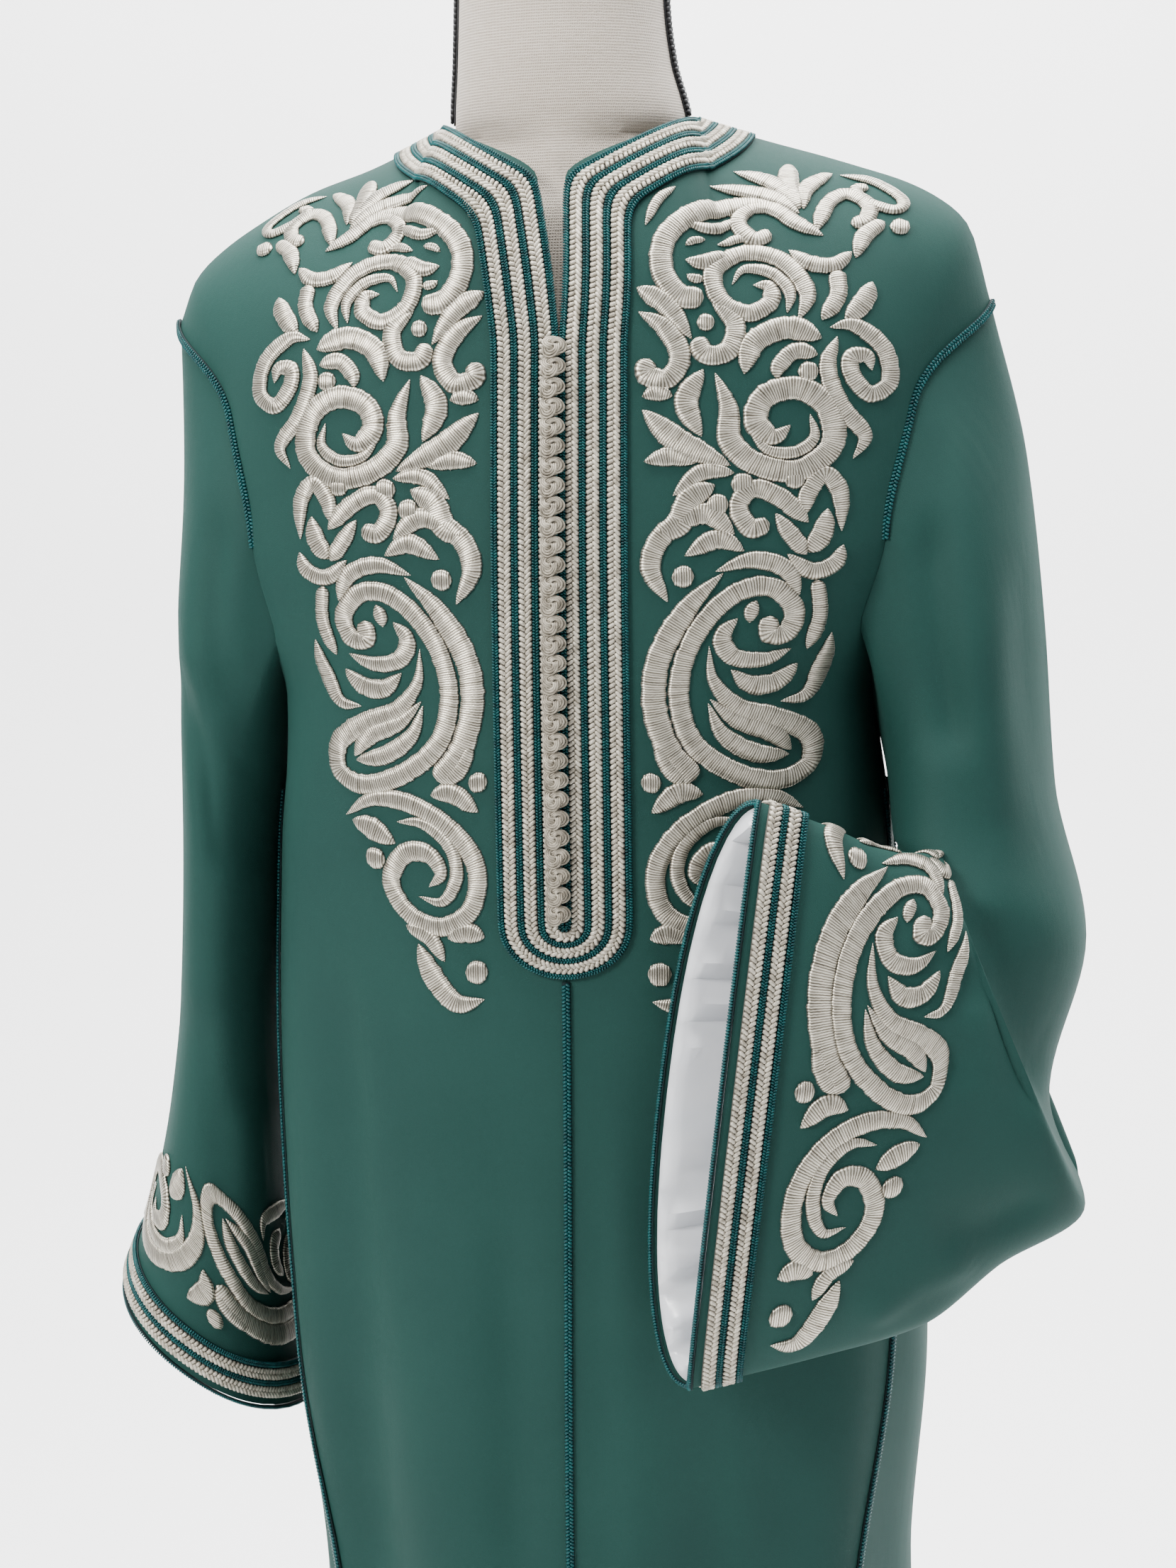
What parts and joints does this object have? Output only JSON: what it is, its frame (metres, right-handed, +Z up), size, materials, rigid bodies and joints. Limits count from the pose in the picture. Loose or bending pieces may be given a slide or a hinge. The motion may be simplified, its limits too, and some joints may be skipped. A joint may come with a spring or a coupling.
{
  "type": "kaftan on a dress form",
  "caption": "Long open-necked kaftan with wide sleeves, braided front slit, knotted buttons and embroidery, on a dress form with a round base.",
  "frame": {"origin": "centre of the stand's base, on the floor", "axes": "+Z up along the pole, and the front of the garment faces -Y"},
  "size_m": [0.5751, 0.3672, 1.5443],
  "materials": {
    "crepe": "matte crepe with a faint sheen",
    "silver_braid": "braided silver-beige metallic thread",
    "teal_cord": "twisted silk cord",
    "satin": "smooth satin",
    "linen": "plain woven linen",
    "wood": "turned and varnished",
    "black_metal": "satin black paint"
  },
  "bodies": {
    "root": {"back": "crepe", "cord_armhole_left": "teal_cord", "cord_armhole_right": "teal_cord", "cord_centre_front": "teal_cord", "cord_side_back_left": "teal_cord", "cord_side_back_right": "teal_cord", "cord_side_front_left": "teal_cord", "cord_side_front_right": "teal_cord", "cuff_braid_inner_left": "silver_braid", "cuff_braid_inner_right": "silver_braid", "cuff_braid_outer_left": "silver_braid", "cuff_braid_outer_right": "silver_braid", "cuff_cord_edge_left": "teal_cord", "cuff_cord_edge_right": "teal_cord", "cuff_cord_middle_left": "teal_cord", "cuff_cord_middle_right": "teal_cord", "cuff_cord_top_left": "teal_cord", "cuff_cord_top_right": "teal_cord", "form_body": "linen", "front_left": "crepe", "front_right": "crepe", "gore_left": "crepe", "gore_right": "crepe", "knots_01": "silver_braid", "knots_06": "silver_braid", "knots_11": "silver_braid", "knots_16": "silver_braid", "knots_21": "silver_braid", "knots_26": "silver_braid", "neck_braid_inner": "silver_braid", "neck_braid_middle": "silver_braid", "neck_braid_outer": "silver_braid", "neck_cap": "wood", "neck_cord_edge": "teal_cord", "neck_cord_inner": "teal_cord", "neck_cord_middle": "teal_cord", "neck_cord_outer": "teal_cord", "sleeve_left": "crepe", "sleeve_lining_right": "satin", "sleeve_right": "crepe", "stand_base": "black_metal", "stand_collar": "black_metal", "stand_pole": "wood"}
  },
  "joints": []
}
